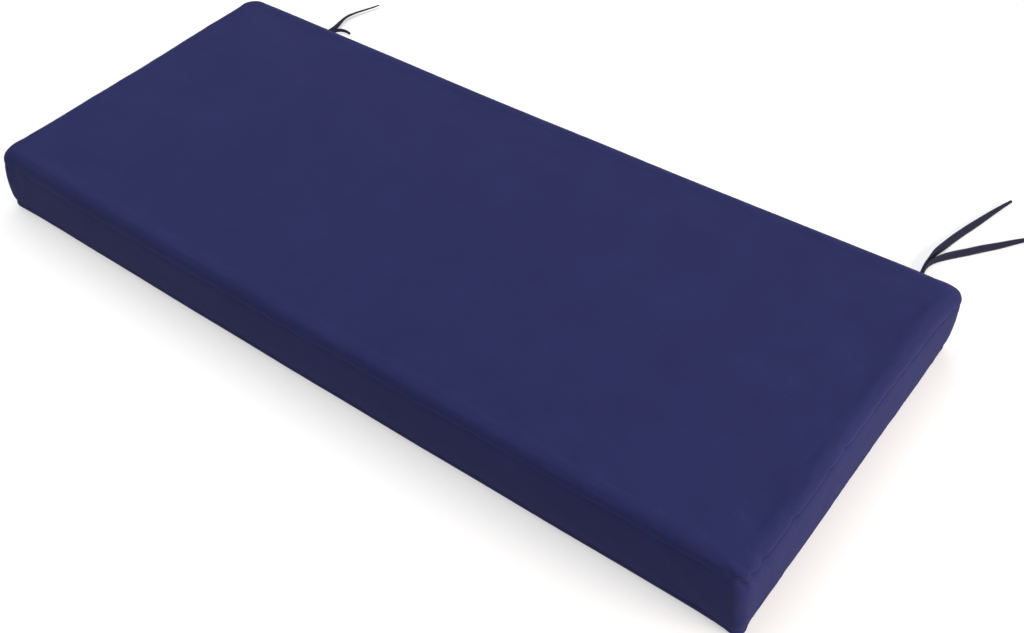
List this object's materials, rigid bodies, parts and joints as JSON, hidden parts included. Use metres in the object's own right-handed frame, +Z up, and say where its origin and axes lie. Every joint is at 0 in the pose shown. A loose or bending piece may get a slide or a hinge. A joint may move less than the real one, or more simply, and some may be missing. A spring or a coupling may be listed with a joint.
{
  "type": "bench cushion",
  "caption": "Long boxed seat cushion for a bench, with a softly rolled top edge, seams round the top and base, and flat fabric ties at the back corners.",
  "frame": {"origin": "middle of the cushion's footprint, on the surface that it lies on", "axes": "+X along the bench, to the right as seen from the front; +Y towards the back edge that has the ties; +Z up"},
  "size_m": [1.2189, 0.7924, 0.1016],
  "materials": {
    "cover": "matt navy woven cloth",
    "tape": "matt dark navy cloth, folded and stitched flat"
  },
  "bodies": {
    "root": {"cushion": "cover", "tie_right_upper": "tape", "tie_right_lower": "tape", "tie_left_upper": "tape", "tie_left_lower": "tape"}
  },
  "joints": []
}
